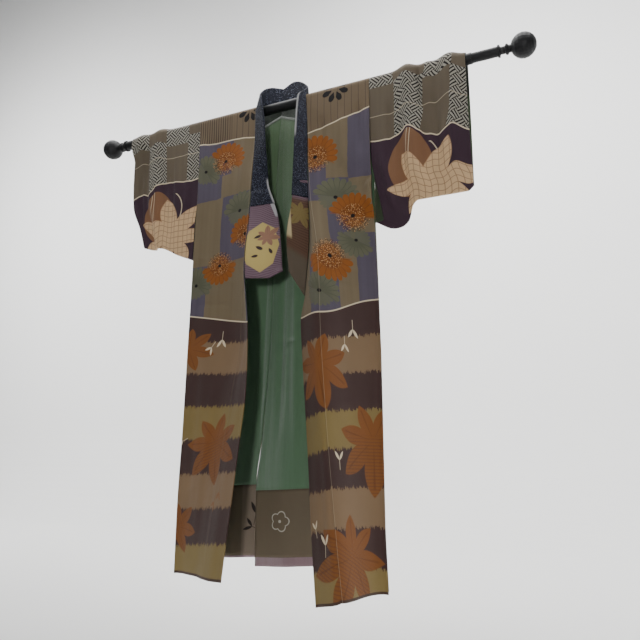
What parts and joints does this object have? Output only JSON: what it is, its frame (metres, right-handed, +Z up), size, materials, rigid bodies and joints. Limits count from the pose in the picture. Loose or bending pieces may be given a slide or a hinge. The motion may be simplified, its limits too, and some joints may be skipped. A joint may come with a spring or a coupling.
{
  "type": "kimono on a hanging rod",
  "caption": "Patterned cloth kimono with wide sleeves and a dark over-collar, hanging open on a telescopic rod with ball finials.",
  "frame": {"origin": "on the rod's axis at the middle of the rod, where the rod is held", "axes": "+X along the rod to the right as seen from the front, -Y towards the garment's front, +Z up"},
  "size_m": [1.551, 0.2624, 1.5977],
  "materials": {
    "printed_cloth": "printed silk crepe, matt",
    "lining": "green silk lining with a soft sheen",
    "facing": "brown crepe facing, matt",
    "collar_cloth": "printed silk crepe, matt",
    "over_collar_cloth": "dark navy cloth with fine pale specks",
    "black_metal": "satin black enamel"
  },
  "bodies": {
    "root": {"body_left": "printed_cloth", "body_right": "printed_cloth", "overlap_left": "printed_cloth", "overlap_right": "printed_cloth", "sleeve_left": "printed_cloth", "sleeve_right": "printed_cloth", "lining_left": "lining", "lining_right": "lining", "hem_facing_left": "facing", "hem_facing_right": "facing", "collar": "collar_cloth", "over_collar": "over_collar_cloth", "rod_outer_tube": "black_metal", "rod_inner_tube": "black_metal", "finial_left": "black_metal", "finial_right": "black_metal"}
  },
  "joints": []
}
